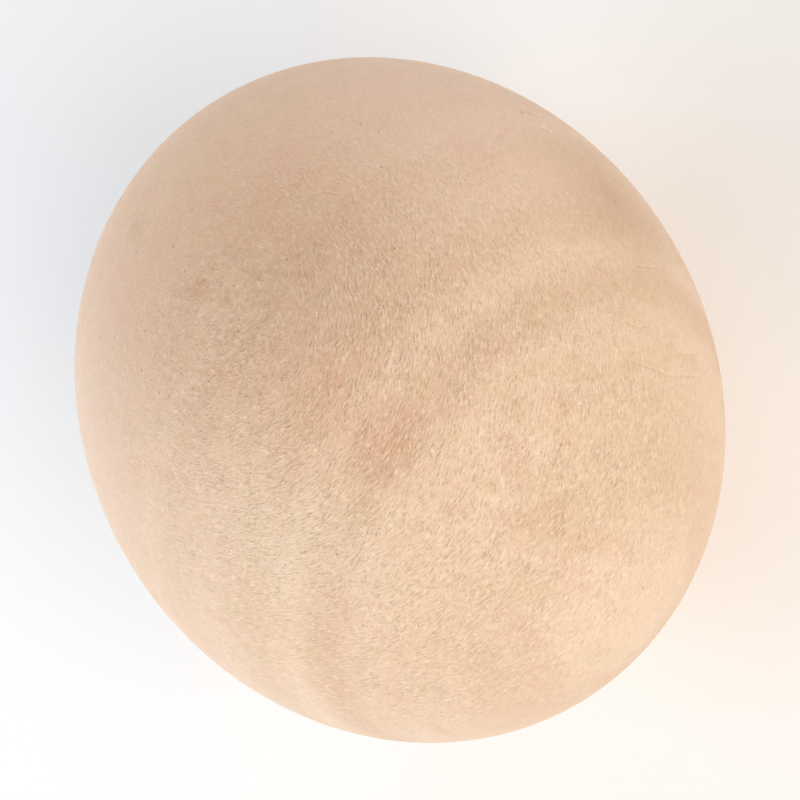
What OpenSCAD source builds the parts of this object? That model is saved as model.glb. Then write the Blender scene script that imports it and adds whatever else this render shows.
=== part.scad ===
// A plain solid wooden ball, turned from a single block of wood.
//
// The origin is at the centre of the ball. +Z runs along the axis that it was turned on.
// The grain of the wood runs the same way, so the end grain is at the top and the bottom.

/* [Ball] */
// Diameter of the ball
ball_d = 50; // [10:0.5:150]

/* [Hidden] */
// Sides round the ball, for a smooth outline
ball_sides = 128;
// Colour of bare pale wood
bare_wood = "#e3c3a7";

// The whole ball: one solid sphere, with no bore, flat or seam.
module ball() {
    color(bare_wood)
        sphere(d = ball_d, $fn = ball_sides);
}

ball();
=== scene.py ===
# %% [markdown]
# # A turned wooden ball
#
# The ball is a single piece of pale hardwood. It was turned on a lathe, sanded while it still span,
# and left bare. Its make-up is simple, so the picture stands or falls on three things: a form that is
# truly round, small marks cut into the form where the real one has them, and a wood material that
# carries its growth layers, its torn fibres and its warm patches at their real size.
#
# The first step loads the construction model, which gives every size and place that is used below.

# %% Load the frame
import math

import bpy
from mathutils import Matrix, Quaternion, Vector
from mathutils.kdtree import KDTree


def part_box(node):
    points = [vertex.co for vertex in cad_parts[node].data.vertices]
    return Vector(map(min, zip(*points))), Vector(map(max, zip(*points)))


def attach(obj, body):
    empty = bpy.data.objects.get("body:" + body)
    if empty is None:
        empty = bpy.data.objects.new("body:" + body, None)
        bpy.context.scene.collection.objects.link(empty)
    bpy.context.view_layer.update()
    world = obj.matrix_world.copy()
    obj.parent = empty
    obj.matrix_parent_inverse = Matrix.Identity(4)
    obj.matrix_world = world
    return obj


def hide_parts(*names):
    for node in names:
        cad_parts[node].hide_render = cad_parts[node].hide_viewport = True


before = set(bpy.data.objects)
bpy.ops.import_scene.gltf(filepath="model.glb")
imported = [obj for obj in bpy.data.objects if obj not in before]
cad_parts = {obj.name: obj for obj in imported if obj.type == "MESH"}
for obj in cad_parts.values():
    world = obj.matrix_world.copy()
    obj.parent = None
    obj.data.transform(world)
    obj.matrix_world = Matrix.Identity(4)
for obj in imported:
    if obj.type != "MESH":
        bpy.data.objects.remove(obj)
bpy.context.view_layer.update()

MM = 0.001
low, high = (Vector(corner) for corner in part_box("ball"))
CENTRE = (low + high) / 2
RADIUS = (high.z - low.z) / 2
print(f"ball of {2 * RADIUS / MM:.2f} mm, centred on {tuple(round(c / MM, 3) for c in CENTRE)} mm")

# %% [markdown]
# ## Places on the ball
#
# A ball has no corners to measure from, so places on it are given as on a globe: by latitude above its
# equator and longitude round it, in degrees. The lathe turned it about the globe's axis, which is Z.

# %% A place on the globe
def place(latitude, longitude, radius=RADIUS):
    """The point at a latitude and longitude, in degrees."""
    lat, lon = math.radians(latitude), math.radians(longitude)
    out = Vector((math.cos(lat) * math.cos(lon), math.cos(lat) * math.sin(lon), math.sin(lat)))
    return CENTRE + out * radius


def deselect_all():
    """Clears the selection, because an operator acts on everything that is selected."""
    for thing in bpy.context.selected_objects:
        thing.select_set(False)


# %% [markdown]
# ## The round form
#
# A globe of strips has its faces squeezed together at the poles, and the end grain of this ball sits
# just there. So the form starts as a cube instead, cut into an even grid, and the Cast modifier pushes
# every point out to the ball's radius. That leaves six curved patches of nearly square faces.

# %% Make the ball from a cube
GRID_CUTS = 71

deselect_all()
bpy.ops.mesh.primitive_cube_add(size=2 * RADIUS / math.sqrt(3), location=CENTRE)
ball = bpy.context.object
ball.name = ball.data.name = "turned_ball"
bpy.ops.object.transform_apply(location=True, rotation=True, scale=True)
bpy.ops.object.mode_set(mode="EDIT")
bpy.ops.mesh.select_all(action="SELECT")
bpy.ops.mesh.subdivide(number_cuts=GRID_CUTS)
bpy.ops.mesh.select_mode(type="FACE")
bpy.ops.mesh.select_all(action="DESELECT")
bpy.ops.object.mode_set(mode="OBJECT")


def round_off():
    """Pushes every point of the ball out to its radius."""
    cast = ball.modifiers.new("Round", "CAST")
    cast.cast_type = "SPHERE"
    cast.factor = 1.0
    cast.use_radius_as_size = False
    cast.radius = 0.0
    cast.size = RADIUS
    bpy.ops.object.modifier_apply(modifier=cast.name)


round_off()
print(f"{len(ball.data.polygons)} faces in the even grid")

# %% [markdown]
# ## Where the marks are
#
# A bare ball that has been handled carries a few small marks: nicks, a dimple, and fine scratches where
# it rubbed against something. Each one here is a line over the surface with a half width and a depth.
# A depth below zero stands proud, as a lifted sliver of fibre does.

# %% List the marks
# name: ((latitude, longitude) of each stop along it), half width in mm, depth in mm
MARKS = {
    "nick": (((18, -26), (16.5, -27)), 0.34, 0.20),
    "small_nick": (((14.5, -27), (13.5, -28)), 0.26, 0.14),
    "upright_sliver": (((14, -30), (15, -30.5)), 0.14, -0.06),
    "level_sliver": (((14.5, -31.5), (13.5, -32.5)), 0.14, -0.06),
    "dimple": (((28, -32), (28.5, -32.5)), 0.50, 0.15),
    "first_scratch": (((35.5, -37.5), (36, -39.5), (35.5, -41.5)), 0.17, 0.08),
    "second_scratch": (((34.5, -38), (35, -39.5), (34.5, -41)), 0.14, 0.06),
    "fine_line": (((14.5, -60), (8, -59.5)), 0.13, 0.07),
    "short_arc": (((21, -70), (18.5, -70.5), (16, -70)), 0.13, 0.04),
    "long_arc": (((22, -76), (12, -77), (1, -75.5), (-5, -73)), 0.2, 0.05),
    "faint_line": (((9.5, -73.5), (0.5, -72)), 0.12, 0.03),
}


def trail(stops, spacing=0.03 * MM):
    """Closely spaced places along a line over the surface, and a search tree that holds them."""
    places = []
    for (lat_a, lon_a), (lat_b, lon_b) in zip(stops, stops[1:]):
        steps = math.ceil((place(lat_b, lon_b) - place(lat_a, lon_a)).length / spacing)
        for step in range(steps + 1):
            share = step / steps
            places.append(place(lat_a + (lat_b - lat_a) * share, lon_a + (lon_b - lon_a) * share))
    tree = KDTree(len(places))
    for index, spot in enumerate(places):
        tree.insert(spot, index)
    tree.balance()
    return tree


trails = {name: trail(stops) for name, (stops, half_width, depth) in MARKS.items()}
print(f"{len(trails)} marks")

# %% [markdown]
# ## A finer mesh where the detail is
#
# A scratch is a third of a millimetre wide and the even grid has faces of half a millimetre. Cutting the
# whole ball that fine would take millions of faces, so only the faces near a mark are cut, several
# times over and a little closer to it each time. The two patches of end grain get the same, less finely.

# %% Cut the faces near the marks and the poles
POLE_PATCH = 7.5 * MM
POLE_CUTS = 2
MARK_REACHES = [1.5 * MM, 1.0 * MM, 0.7 * MM, 0.5 * MM]

poles = [place(90, 0), place(-90, 0)]
for level, reach in enumerate(MARK_REACHES):
    for face in ball.data.polygons:
        near_pole = level < POLE_CUTS and min((face.center - pole).length for pole in poles) < POLE_PATCH
        near_mark = any(spots.find(face.center)[2] < reach for spots in trails.values())
        face.select = near_pole or near_mark
    bpy.ops.object.mode_set(mode="EDIT")
    bpy.ops.mesh.subdivide(number_cuts=1, ngon=False)
    bpy.ops.mesh.select_all(action="DESELECT")
    bpy.ops.object.mode_set(mode="OBJECT")
    round_off()
    print(f"level {level}: {len(ball.data.polygons)} faces")

# %% [markdown]
# ## Torn end grain
#
# Round the two poles the fibres end in the surface, and the tool plucked some of them out. That leaves
# small irregular pits, up to a tenth of a millimetre deep. A Displace modifier sinks the surface by
# a cloud pattern, and a vertex group fades it out away from the poles.

# %% Sink the end grain
PIT_SIZE = 0.55 * MM
PIT_DEPTH = 0.10 * MM

end_grain = ball.vertex_groups.new(name="end_grain")
for vertex in ball.data.vertices:
    gap = min((vertex.co - pole).length for pole in poles)
    share = max(0.0, 1 - gap / POLE_PATCH)
    if share > 0:
        end_grain.add([vertex.index], share * share * (3 - 2 * share), "REPLACE")
plucked = bpy.data.textures.new("plucked_fibres", "CLOUDS")
plucked.noise_scale = PIT_SIZE
plucked.noise_depth = 2
sink = ball.modifiers.new("End grain", "DISPLACE")
sink.texture = plucked
sink.texture_coords = "LOCAL"
sink.mid_level = 1.0
sink.strength = PIT_DEPTH
sink.vertex_group = end_grain.name
bpy.ops.object.modifier_apply(modifier=sink.name)

# %% [markdown]
# ## Cutting the marks
#
# Each mark is pressed into the mesh in the same way. A vertex group holds how near each point is to the
# mark's line, and a Displace modifier moves the points along their normals by that share of the depth.

# %% Press the marks in
for name, (stops, half_width, depth) in MARKS.items():
    group = ball.vertex_groups.new(name=name)
    for vertex in ball.data.vertices:
        gap = trails[name].find(vertex.co)[2]
        share = max(0.0, 1 - gap / (half_width * MM))
        if share > 0:
            group.add([vertex.index], share * share * (3 - 2 * share), "REPLACE")
    press = ball.modifiers.new(name, "DISPLACE")
    press.mid_level = 0.0
    press.strength = -depth * MM
    press.vertex_group = group.name
    bpy.ops.object.modifier_apply(modifier=press.name)
ball.vertex_groups.clear()
bpy.ops.object.shade_smooth()
reach = [(v.co - CENTRE).length / MM for v in ball.data.vertices]
print(f"{len(ball.data.polygons)} faces, radius {min(reach):.3f} to {max(reach):.3f} mm")

# %% [markdown]
# ## The wood
#
# This is a pale, fine-grained hardwood of the birch and lime kind. It was cut dry on a lathe and then
# sanded along the way it turned. That leaves four things to see, from large to small: growth layers,
# warm and cool patches, short lifted fibres that lie along the turning, and a fine dust of pores.
# Each gets its own few nodes, and each size below is a real one in millimetres, unless a comment says
# that it is drawn coarser.

# %% Helpers for materials
def linear(hex_colour):
    """Turns an sRGB hex colour into the linear RGBA that Blender's sockets take."""
    channels = [int(hex_colour[i:i + 2], 16) / 255 for i in (1, 3, 5)]
    return [c / 12.92 if c <= 0.04045 else ((c + 0.055) / 1.055) ** 2.4 for c in channels] + [1.0]


def node(tree, kind, inputs=None, **settings):
    """Adds a node, sets its properties, sets or links its inputs, and gives back its first output."""
    made = tree.nodes.new(kind)
    for name, value in settings.items():
        setattr(made, name, value)
    for key, value in (inputs or {}).items():
        socket = next(s for i, s in enumerate(made.inputs) if s.enabled and key in (i, s.name))
        if isinstance(value, bpy.types.NodeSocket):
            tree.links.new(value, socket)
        else:
            socket.default_value = value
    return next((s for s in made.outputs if s.enabled), None)


# %% Start the wood material
wood = bpy.data.materials.new("bare_hardwood_turned_and_sanded")
wood.use_nodes = True
tree = wood.node_tree
tree.nodes.clear()
where = node(tree, "ShaderNodeTexCoord").node.outputs["Object"]

# %% [markdown]
# ## Growth layers
#
# The blank was sawn far from the heart of the tree, so its growth layers are wide, almost flat sheets
# that run nearly along the turning axis. Where they meet the round surface they show as ovals. The
# pattern is the depth of each point along the sheets' normal, and a colour ramp over that depth gives
# each layer its own tone: soft dark bands, with a pale line on either side of the darkest.

# %% Depth through the layers
LAYER_LATITUDE = 8
LAYER_LONGITUDE = -113
LAYER_WAVER = 1.4 * MM
LAYER_WAVER_SIZE = 8 * MM
ALONG_GRAIN = 0.35
layer_normal = place(LAYER_LATITUDE, LAYER_LONGITUDE, 1.0) - CENTRE
depth = node(tree, "ShaderNodeVectorMath", {0: where, 1: layer_normal}, operation="DOT_PRODUCT")
depth = depth.node.outputs["Value"]
along_grain = node(tree, "ShaderNodeMapping", {"Vector": where, "Scale": (1, 1, ALONG_GRAIN)})
layer_noise = node(tree, "ShaderNodeTexNoise", {
    "Vector": along_grain, "Scale": 1 / LAYER_WAVER_SIZE, "Detail": 2.5})
wavy_depth = node(tree, "ShaderNodeMath", {0: layer_noise, 1: LAYER_WAVER, 2: depth},
                  operation="MULTIPLY_ADD")
layer_share = node(tree, "ShaderNodeMapRange", {
    "Value": wavy_depth, "From Min": -RADIUS + LAYER_WAVER / 2, "From Max": RADIUS + LAYER_WAVER / 2})

# %% The tone of each growth layer
# Depth in mm from the middle of the ball towards the bark, and how dark the wood is there.
LAYER_TONES = [
    (-25, 0.5), (-18, 0.6), (-15, 0.4), (-11, 0.5), (-9, 0.3), (-4, 0.5),
    (1.5, 0.7), (4, 0.4), (5.5, 0.7), (9.5, 0.4), (12.5, 0.7), (14.5, 0.1),
    (16.5, 1.0), (18.5, 0.1), (20.5, 0.2), (23.5, 0.8), (24.5, 0.2),
]
ramp = node(tree, "ShaderNodeValToRGB", {"Fac": layer_share}).node
ramp.color_ramp.interpolation = "EASE"
stops = ramp.color_ramp.elements
while len(stops) < len(LAYER_TONES):
    stops.new(1.0)
for stop, (layer_depth, tone) in zip(stops, LAYER_TONES):
    stop.position = (layer_depth * MM + RADIUS) / (2 * RADIUS)
    stop.color = (tone, tone, tone, 1)
layers = ramp.outputs["Color"]
print(f"{len(LAYER_TONES)} tones across the growth layers")

# %% [markdown]
# ## Lifted fibres
#
# The tool and the sandpaper both cut along the ball's circles of latitude, across the fibres, so they
# leave short lifted dashes along those circles. A noise pattern is stretched into dashes by feeding it
# a place that changes slowly along the circle and fast across it. X and Y do the first, and the distance
# from the pole along the surface does the second, which keeps each dash the same length and width from
# the pole to the equator, with no seam. The place is pushed about a little first, and further on the
# end grain, where the fibres point every way.

# %% How near the pole a point is
END_GRAIN_INNER = math.cos(math.radians(4))
END_GRAIN_OUTER = math.cos(math.radians(25))
outward = node(tree, "ShaderNodeVectorMath", {0: where}, operation="NORMALIZE")
height = node(tree, "ShaderNodeSeparateXYZ", {"Vector": outward}).node.outputs["Z"]
height_size = node(tree, "ShaderNodeMath", {0: height}, operation="ABSOLUTE")
end_share = node(tree, "ShaderNodeMapRange", {
    "Value": height_size, "From Min": END_GRAIN_OUTER, "From Max": END_GRAIN_INNER},
    interpolation_type="SMOOTHSTEP")

# %% Push the pattern about
DRIFT_SIZE = 1.2 * MM
DRIFT = 0.45 * MM
DRIFT_END_GRAIN = 0.8 * MM
NOISE_MIDDLE = (0.5, 0.5, 0.5)
drift_noise = node(tree, "ShaderNodeTexNoise", {"Vector": where, "Scale": 1 / DRIFT_SIZE, "Detail": 1.0})
drift_noise = drift_noise.node.outputs["Color"]
drift_centred = node(tree, "ShaderNodeVectorMath", {0: drift_noise, 1: NOISE_MIDDLE},
                     operation="SUBTRACT")
drift_reach = node(tree, "ShaderNodeMapRange", {
    "Value": end_share, "To Min": DRIFT, "To Max": DRIFT_END_GRAIN})
drift = node(tree, "ShaderNodeVectorMath", {0: drift_centred, "Scale": drift_reach}, operation="SCALE")
drifted = node(tree, "ShaderNodeVectorMath", {0: where, 1: drift}, operation="ADD")
drifted_axes = node(tree, "ShaderNodeSeparateXYZ", {"Vector": drifted}).node.outputs
drifted_length = node(tree, "ShaderNodeVectorMath", {0: drifted}, operation="LENGTH").node.outputs["Value"]
drifted_height = node(tree, "ShaderNodeMath", {0: drifted_axes["Z"], 1: drifted_length}, operation="DIVIDE")
polar_angle = node(tree, "ShaderNodeMath", {0: drifted_height}, operation="ARCCOSINE")

# %% Dashes along the circles of latitude
FIBRE_LENGTH = 0.43 * MM
FIBRE_WIDTH = 0.13 * MM
across = node(tree, "ShaderNodeMath", {0: polar_angle, 1: RADIUS * FIBRE_LENGTH / FIBRE_WIDTH},
              operation="MULTIPLY")
fibre_place = node(tree, "ShaderNodeCombineXYZ", {
    "X": drifted_axes["X"], "Y": drifted_axes["Y"], "Z": across})
fibres = node(tree, "ShaderNodeTexNoise", {
    "Vector": fibre_place, "Scale": 1 / FIBRE_LENGTH, "Detail": 2.0, "Roughness": 0.55})

# %% [markdown]
# The fibres stand highest on one side, where the tool met them from below, and lie flatter on the far
# side. How lifted they are follows from how far a point faces that rough side.

# %% Where the fibres are lifted most
ROUGH_LATITUDE = 46
ROUGH_LONGITUDE = -112
SMOOTHEST = 0.45
ROUGHEST = 1.2
FACING_START = 0.4
rough_side = place(ROUGH_LATITUDE, ROUGH_LONGITUDE, 1.0) - CENTRE
facing = node(tree, "ShaderNodeVectorMath", {0: outward, 1: rough_side}, operation="DOT_PRODUCT")
facing = facing.node.outputs["Value"]
lifted_side = node(tree, "ShaderNodeMapRange", {
    "Value": facing, "From Min": FACING_START, "From Max": 1.0, "To Min": SMOOTHEST, "To Max": ROUGHEST},
    interpolation_type="SMOOTHSTEP")

# %% [markdown]
# Within that, some spots a millimetre or two across are a little rougher than their neighbours, because
# the sandpaper doesn't bear evenly. A second noise makes the fibres there stand a fifth more or less.

# %% Rougher and smoother patches
TUFT_SIZE = 1.6 * MM
TUFT_CHANGE = 0.2
TUFT_LOW = 0.35
TUFT_HIGH = 0.65
tuft_noise = node(tree, "ShaderNodeTexNoise", {"Vector": where, "Scale": 1 / TUFT_SIZE, "Detail": 2.0})
tufts = node(tree, "ShaderNodeMapRange", {
    "Value": tuft_noise, "From Min": TUFT_LOW, "From Max": TUFT_HIGH,
    "To Min": 1 - TUFT_CHANGE, "To Max": 1 + TUFT_CHANGE})
lifted = node(tree, "ShaderNodeMath", {0: lifted_side, 1: tufts}, operation="MULTIPLY")

# %% [markdown]
# On the end grain the dashes mostly give way to short stubs and pits with no direction of their own.
# They are a plain noise, mixed in by how near the pole a point is.

# %% Stubs and pits of the end grain
STUB_SIZE = 0.42 * MM
STUB_SPREAD = 0.2
stub_noise = node(tree, "ShaderNodeTexNoise", {
    "Vector": where, "Scale": 1 / STUB_SIZE, "Detail": 3.0, "Roughness": 0.65})
stubs = node(tree, "ShaderNodeMapRange", {
    "Value": stub_noise, "To Min": -STUB_SPREAD, "To Max": 1 + STUB_SPREAD}, clamp=False)
END_GRAIN_SHARE = 0.6
stub_share = node(tree, "ShaderNodeMath", {0: end_share, 1: END_GRAIN_SHARE}, operation="MULTIPLY")
standing = node(tree, "ShaderNodeMix", {"Factor": stub_share, "A": fibres, "B": stubs}, data_type="FLOAT")

# %% [markdown]
# Sanded wood also has a nap of the finest fibre ends, which takes the shine off it. It is a small even
# noise, added to the dashes, so that from here on one field holds the whole grain.

# %% Fine nap between the fibres
# A real nap is a few hundredths of a millimetre across, and is drawn coarser here to show at all.
NAP_SIZE = 0.12 * MM
NAP = 0.36
nap_noise = node(tree, "ShaderNodeTexNoise", {"Vector": where, "Scale": 1 / NAP_SIZE, "Detail": 1.0})
nap = node(tree, "ShaderNodeMapRange", {"Value": nap_noise, "To Min": -NAP / 2, "To Max": NAP / 2})
grain = node(tree, "ShaderNodeMath", {0: standing, 1: nap}, operation="ADD")

# %% [markdown]
# The fibres are far too many to model, so their height goes to a Bump node, which tilts the light's
# view of the surface and leaves the mesh alone. The end grain is torn about twice as deep as the rest.

# %% The relief
FIBRE_HEIGHT = 0.12 * MM
END_GRAIN_DEPTH = 1.1
torn = node(tree, "ShaderNodeMath", {0: end_share, 1: END_GRAIN_DEPTH, 2: 1.0}, operation="MULTIPLY_ADD")
torn_here = node(tree, "ShaderNodeMath", {0: torn, 1: lifted}, operation="MULTIPLY")
grain_height = node(tree, "ShaderNodeMath", {0: grain, 1: torn_here}, operation="MULTIPLY")
relief = node(tree, "ShaderNodeBump", {"Height": grain_height, "Strength": 1.0, "Distance": FIBRE_HEIGHT})

# %% [markdown]
# ## Colour
#
# Bare wood of this kind is a pale peach. One side, called the heart side, is painted darker and the
# bark side lighter: that is painted shade, darker on the side away from the main light. Faint pink and
# straw-coloured patches, a few millimetres across, drift through both.

# %% Base colour, with painted shade from one side to the other
# Painted shade: the colour runs from darker on the side away from the main light to lighter on the side
# facing it.
shaded_heart_side = linear("#edcaad")
lit_bark_side = linear("#f2d5b9")
dark_layer = linear("#c99c76")
lit_side_share = node(tree, "ShaderNodeMapRange", {"Value": depth, "From Min": -RADIUS, "From Max": RADIUS})
body = node(tree, "ShaderNodeMix", {"Factor": lit_side_share, "A": shaded_heart_side, "B": lit_bark_side}, data_type="RGBA")
LAYER_STRENGTH = 0.32
layer_factor = node(tree, "ShaderNodeMath", {0: layers, 1: LAYER_STRENGTH}, operation="MULTIPLY")
layered = node(tree, "ShaderNodeMix", {"Factor": layer_factor, "A": body, "B": dark_layer},
               data_type="RGBA")

# %% Pink and straw-coloured patches
PATCH_SIZE = 2.2 * MM
PINK_STRENGTH = 0.38
STRAW_STRENGTH = 0.45
PATCH_LOW = 0.25
PATCH_MIDDLE = 0.5
PATCH_HIGH = 0.75
patch_noise = node(tree, "ShaderNodeTexNoise", {
    "Vector": along_grain, "Scale": 1 / PATCH_SIZE, "Detail": 3.0})
pink_share = node(tree, "ShaderNodeMapRange", {
    "Value": patch_noise, "From Min": PATCH_MIDDLE, "From Max": PATCH_HIGH,
    "To Max": PINK_STRENGTH})
pink = node(tree, "ShaderNodeMix", {"Factor": pink_share, "A": layered, "B": linear("#e3b497")},
            data_type="RGBA")
straw_share = node(tree, "ShaderNodeMapRange", {
    "Value": patch_noise, "From Min": PATCH_LOW, "From Max": PATCH_MIDDLE,
    "To Min": STRAW_STRENGTH, "To Max": 0.0})
patched = node(tree, "ShaderNodeMix", {"Factor": straw_share, "A": pink, "B": linear("#dcc097")},
               data_type="RGBA")

# %% [markdown]
# Wood is never one even colour. It has broad soft blushes, and small brown, reddish or dark stains where
# it was handled or has a blemish. One broad brown blush is painted shade, darker towards the edge of
# the ball. Each is a round spot on the globe that fades to nothing at its radius. A noise shifts the
# place first, which makes the edges ragged.

# %% Blushes, stains and painted shade
# Broad soft blushes come first, then the small stains; the fourth blush is painted shade.
# The last two are pale slivers of fibre.
# latitude, longitude, radius in mm, colour, strength
STAINS_AND_PAINTED_SHADE = [
    (66, -114, 9.0, "#e6ab8e", 0.26),
    (70, 100, 14.0, "#dcab92", 0.22),
    (68, -43, 12.0, "#cca58b", 0.36),
    # Painted shade: a broad brown darkening towards the edge of the ball on this side.
    (12, -48, 9.0, "#c29b7c", 0.44),
    (34, -18, 18.0, "#ecd0c4", 0.34),
    (18, -84, 14.0, "#d6bc93", 0.32),
    (28, -144, 11.0, "#dfb595", 0.18),
    (57, -147, 10.0, "#f5dfc6", 0.38),
    (58, -109, 3.4, "#dc9c7c", 0.22),
    (56, -106, 1.4, "#cf9868", 0.20),
    (68, -122, 2.2, "#cf9f7c", 0.20),
    (38, -100, 1.8, "#c89468", 0.14),
    (31, -104, 2.2, "#c48d62", 0.22),
    (35, -108, 1.6, "#c48d62", 0.25),
    (24, -106, 1.8, "#cb9a70", 0.14),
    (84, 45, 1.3, "#b98a5c", 0.34),
    (86, -15, 0.9, "#c0905f", 0.26),
    (67, 72, 0.35, "#8f6a4c", 0.60),
    (47, -13, 0.18, "#8a6a55", 0.45),
    (55, -30, 0.22, "#8a6a55", 0.45),
    (66, -38, 0.22, "#8a6a55", 0.50),
    (62, 66, 1.8, "#c9987a", 0.22),
    (11, -46, 2.4, "#c4906e", 0.20),
    (3, -74, 0.8, "#c9a083", 0.30),
    (17, -26.5, 0.5, "#8f6f5c", 0.65),
    (14, -27.5, 0.4, "#a07e68", 0.45),
    (14.5, -30.5, 0.3, "#fff0d8", 0.75),
    (14, -32, 0.3, "#fff0d8", 0.65),
]
STAIN_GRAIN = 1.6 * MM
STAIN_EDGE = 2.4 * MM
stain_noise = node(tree, "ShaderNodeTexNoise", {"Vector": where, "Scale": 1 / STAIN_GRAIN, "Detail": 3.0})
stain_noise = stain_noise.node.outputs["Color"]
stain_centred = node(tree, "ShaderNodeVectorMath", {0: stain_noise, 1: NOISE_MIDDLE},
                     operation="SUBTRACT")
ragged = node(tree, "ShaderNodeVectorMath", {0: stain_centred, "Scale": STAIN_EDGE}, operation="SCALE")
ragged_place = node(tree, "ShaderNodeVectorMath", {0: where, 1: ragged}, operation="ADD")
stained_and_shaded = patched
for latitude, longitude, radius, hex_colour, strength in STAINS_AND_PAINTED_SHADE:
    gap = node(tree, "ShaderNodeVectorMath", {0: ragged_place, 1: place(latitude, longitude)},
               operation="DISTANCE").node.outputs["Value"]
    share = node(tree, "ShaderNodeMapRange", {
        "Value": gap, "From Min": 0.0, "From Max": radius * MM, "To Min": strength, "To Max": 0.0},
        interpolation_type="SMOOTHSTEP")
    stained_and_shaded = node(tree, "ShaderNodeMix", {"Factor": share, "A": stained_and_shaded, "B": linear(hex_colour)},
                   data_type="RGBA")
print(f"{len(STAINS_AND_PAINTED_SHADE)} blushes and stains")

# %% [markdown]
# The same grain that gives the relief also picks the colour. Above one height it is painted paler, a
# painted highlight on the crests of the lifted fibres, and below another it is painted darker, painted
# shade in the hollows beside them.

# %% Painted highlight on the crests and painted shade in the hollows
CREST_HIGHLIGHT_STRENGTH = 0.44
CREST_START = 0.53
CREST_FULL = 0.66
HOLLOW_SHADE_STRENGTH = 0.30
HOLLOW_START = 0.44
HOLLOW_FULL = 0.33
crest_highlight = node(tree, "ShaderNodeMapRange", {
    "Value": grain, "From Min": CREST_START, "From Max": CREST_FULL, "To Max": CREST_HIGHLIGHT_STRENGTH},
    interpolation_type="SMOOTHSTEP")
crest_highlight_here = node(tree, "ShaderNodeMath", {0: crest_highlight, 1: lifted}, operation="MULTIPLY")
# Painted highlight: the crests are mixed towards near white.
with_crest_highlight = node(tree, "ShaderNodeMix", {"Factor": crest_highlight_here, "A": stained_and_shaded, "B": linear("#ffead2")},
               data_type="RGBA")
hollow_shade = node(tree, "ShaderNodeMapRange", {
    "Value": grain, "From Min": HOLLOW_FULL, "From Max": HOLLOW_START,
    "To Min": HOLLOW_SHADE_STRENGTH, "To Max": 0.0},
    interpolation_type="SMOOTHSTEP")
hollow_shade_here = node(tree, "ShaderNodeMath", {0: hollow_shade, 1: lifted}, operation="MULTIPLY")
# Painted shade: the hollows are mixed towards a darker brown.
with_highlight_and_shade = node(tree, "ShaderNodeMix", {"Factor": hollow_shade_here, "A": with_crest_highlight, "B": linear("#b98e6b")},
             data_type="RGBA")

# %% [markdown]
# ## Pores
#
# A few open pores hold dust and show as dark specks, up to a quarter of a millimetre across. They are
# plentiful on the end grain, where the vessels of the wood end, and rare elsewhere.

# %% Dark specks
SPECK_SPACING = 0.9 * MM
SPECK_RADIUS = 0.12 * MM
SPECK_CORE = 0.3 * SPECK_RADIUS
SPECK_STRENGTH = 0.55
# A cell holds a pore where its own random number is above these.
PORELESS_ON_SIDE = 0.93
PORELESS_ON_END = 0.38
cells = node(tree, "ShaderNodeTexVoronoi", {"Vector": where, "Scale": 1 / SPECK_SPACING}).node.outputs
speck = node(tree, "ShaderNodeMapRange", {
    "Value": cells["Distance"], "From Min": SPECK_CORE / SPECK_SPACING,
    "From Max": SPECK_RADIUS / SPECK_SPACING, "To Min": 1.0, "To Max": 0.0})
chance = node(tree, "ShaderNodeSeparateColor", {"Color": cells["Color"]}).node.outputs["Red"]
chosen_from = node(tree, "ShaderNodeMapRange", {
    "Value": end_share, "To Min": PORELESS_ON_SIDE, "To Max": PORELESS_ON_END})
chosen = node(tree, "ShaderNodeMath", {0: chance, 1: chosen_from}, operation="GREATER_THAN")
speck_here = node(tree, "ShaderNodeMath", {0: speck, 1: chosen}, operation="MULTIPLY")
speck_factor = node(tree, "ShaderNodeMath", {0: speck_here, 1: SPECK_STRENGTH}, operation="MULTIPLY")
colour = node(tree, "ShaderNodeMix", {"Factor": speck_factor, "A": with_highlight_and_shade, "B": linear("#8a6a4e")},
              data_type="RGBA")

# %% [markdown]
# Bare wood is matt. It has no coat, so the roughness is high, the shine is weak, and a little sheen
# stands for the nap that catches light at the edge of the ball.

# %% Put the material together
bsdf = node(tree, "ShaderNodeBsdfPrincipled", {
    "Base Color": colour, "Roughness": 0.68, "Normal": relief,
    "Specular IOR Level": 0.35, "Sheen Weight": 0.12, "Sheen Roughness": 0.4})
node(tree, "ShaderNodeOutputMaterial", {"Surface": bsdf})
ball.data.materials.clear()
ball.data.materials.append(wood)
print(f"{len(tree.nodes)} nodes in the wood")

# %% [markdown]
# This one piece takes the place of the construction model's ball and moves with the root body.

# %% Say what the ball stands for
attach(ball, "root")
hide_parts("ball")

# %% [markdown]
# ## The floor and the light
#
# A sheet of white paper and a few large soft boxes are all that a small matt thing needs.

# %% Floor
FLOOR_SIZE = 240 * RADIUS
deselect_all()
bpy.ops.mesh.primitive_plane_add(size=FLOOR_SIZE, location=(CENTRE.x, CENTRE.y, CENTRE.z - RADIUS))
floor = bpy.context.object
floor.name = "studio_floor"
bpy.ops.object.transform_apply(location=True, rotation=True, scale=True)
paper = bpy.data.materials.new("white_studio_paper")
paper.use_nodes = True
paper_shader = paper.node_tree.nodes["Principled BSDF"]
paper_shader.inputs["Base Color"].default_value = linear("#fdfdfd")
paper_shader.inputs["Roughness"].default_value = 0.9
floor.data.materials.append(paper)
print(f"a floor of {FLOOR_SIZE:.1f} m")

# %% [markdown]
# The main light is warm and stands over the rough side. Two cool ones, from behind and from the side,
# keep the shadows open, and a low one rims the ball. The world adds an even light from everywhere.

# %% Light
ROOM_STRENGTH = 0.4
LIGHT_DISTANCE = 12 * RADIUS
LIGHT_WIDTH = 8 * RADIUS
world = bpy.data.worlds.new("soft_room")
bpy.context.scene.world = world
world.use_nodes = True
world.node_tree.nodes["Background"].inputs["Color"].default_value = (1.0, 1.0, 1.0, 1)
world.node_tree.nodes["Background"].inputs["Strength"].default_value = ROOM_STRENGTH


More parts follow.
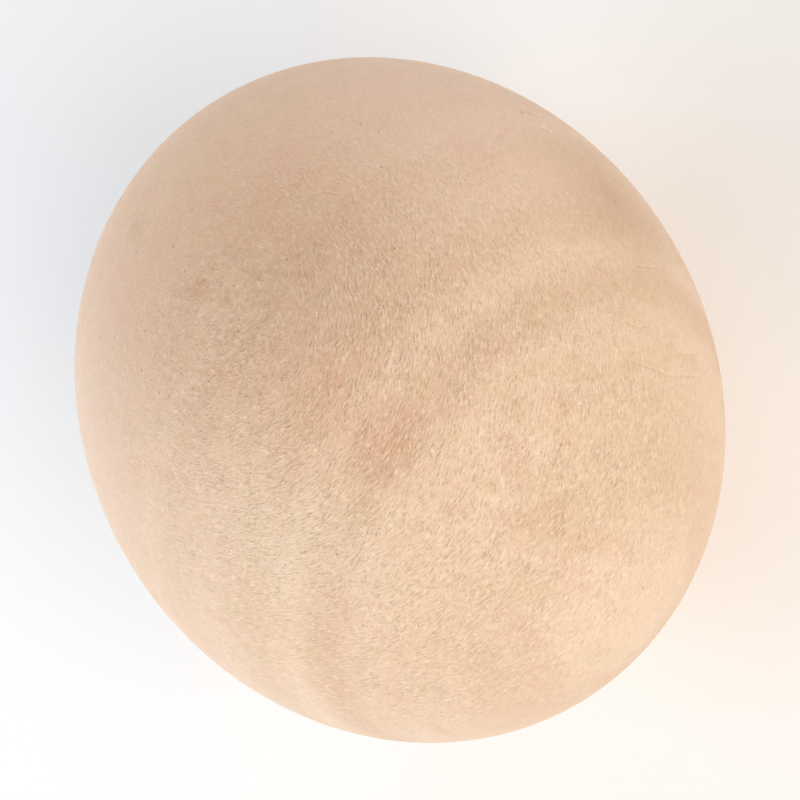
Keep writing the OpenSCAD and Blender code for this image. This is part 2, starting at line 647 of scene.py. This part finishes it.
def softbox(name, azimuth, elevation, power, colour):
    """A square area light that looks at the ball."""
    lamp = bpy.data.lights.new(name, "AREA")
    lamp.shape = "SQUARE"
    lamp.size = LIGHT_WIDTH
    lamp.energy = power
    lamp.color = colour
    thing = bpy.data.objects.new(name, lamp)
    bpy.context.scene.collection.objects.link(thing)
    thing.location = place(elevation, azimuth, LIGHT_DISTANCE)
    thing.rotation_euler = (thing.location - CENTRE).to_track_quat("Z", "Y").to_euler()
    thing.visible_camera = False
    print(f"{name}: {power} W")


softbox("warm_key", -98, 36, 0.52, (1.0, 0.92, 0.82))
softbox("cool_back", 120, 16, 0.59, (0.78, 0.88, 1.0))
softbox("cool_side", 180, 12, 0.19, (0.88, 0.94, 0.98))
softbox("low_rim", 30, 12, 0.26, (1.0, 0.97, 0.95))

# %% [markdown]
# ## Camera
#
# The ball is seen from well above, past its rough side, and off to one side of the lens. A wide lens
# draws a round thing near the edge of its view as an oval, stretched away from the middle. A camera
# that is shifted sideways would do that here, but a shift stays on when the same camera is moved to
# look from elsewhere. So this one has none. Its stand holds the slant instead: the film leans away,
# while the line of sight still meets the ball. Moved off its stand, it is a plain straight camera.

# %% The stand
ELEVATION = 61
AZIMUTH = -90
ROLL = -75.7
SEEN = math.radians(10)
SENSOR = 36
distance = RADIUS / math.sin(SEEN)
stand = bpy.data.objects.new("camera_stand", None)
bpy.context.scene.collection.objects.link(stand)
stand.location = place(ELEVATION, AZIMUTH, distance)
level = (stand.location - CENTRE).to_track_quat("Z", "Y")
stand.rotation_mode = "QUATERNION"
stand.rotation_quaternion = level @ Quaternion((0, 0, 1), math.radians(ROLL))

# %% The slant of the film
OVAL = 1.115
OVAL_TILT = math.radians(-59.3)
FILL = 0.880
lean = math.asin(math.sqrt(1 - 1 / OVAL ** 2) * math.cos(SEEN))
near, far = math.tan(lean - SEEN), math.tan(lean + SEEN)
aim = math.atan((near + far) / 2)
hinge = Vector((-math.sin(OVAL_TILT), math.cos(OVAL_TILT), 0))
film = Matrix.Rotation(lean, 3, hinge)
sight = Matrix.Rotation(lean - aim, 3, hinge)
slant = Matrix((film.col[0], film.col[1], sight.col[2])).transposed()
lens = SENSOR * FILL / (far - near) / math.cos(aim)
print(f"the film leans {math.degrees(aim):.1f} degrees behind a {lens:.1f} mm lens")

# %% The camera
camera_data = bpy.data.cameras.new("camera")
camera_data.lens = lens
camera_data.sensor_width = SENSOR
camera_data.clip_start = 0.1 * RADIUS
camera_data.clip_end = 1000 * RADIUS
camera = bpy.data.objects.new("camera", camera_data)
bpy.context.scene.collection.objects.link(camera)
bpy.context.scene.camera = camera
camera.parent = stand
camera.matrix_parent_inverse = slant.to_4x4()
bpy.context.scene.view_settings.view_transform = "Standard"

# %% Finish
bpy.context.view_layer.update()
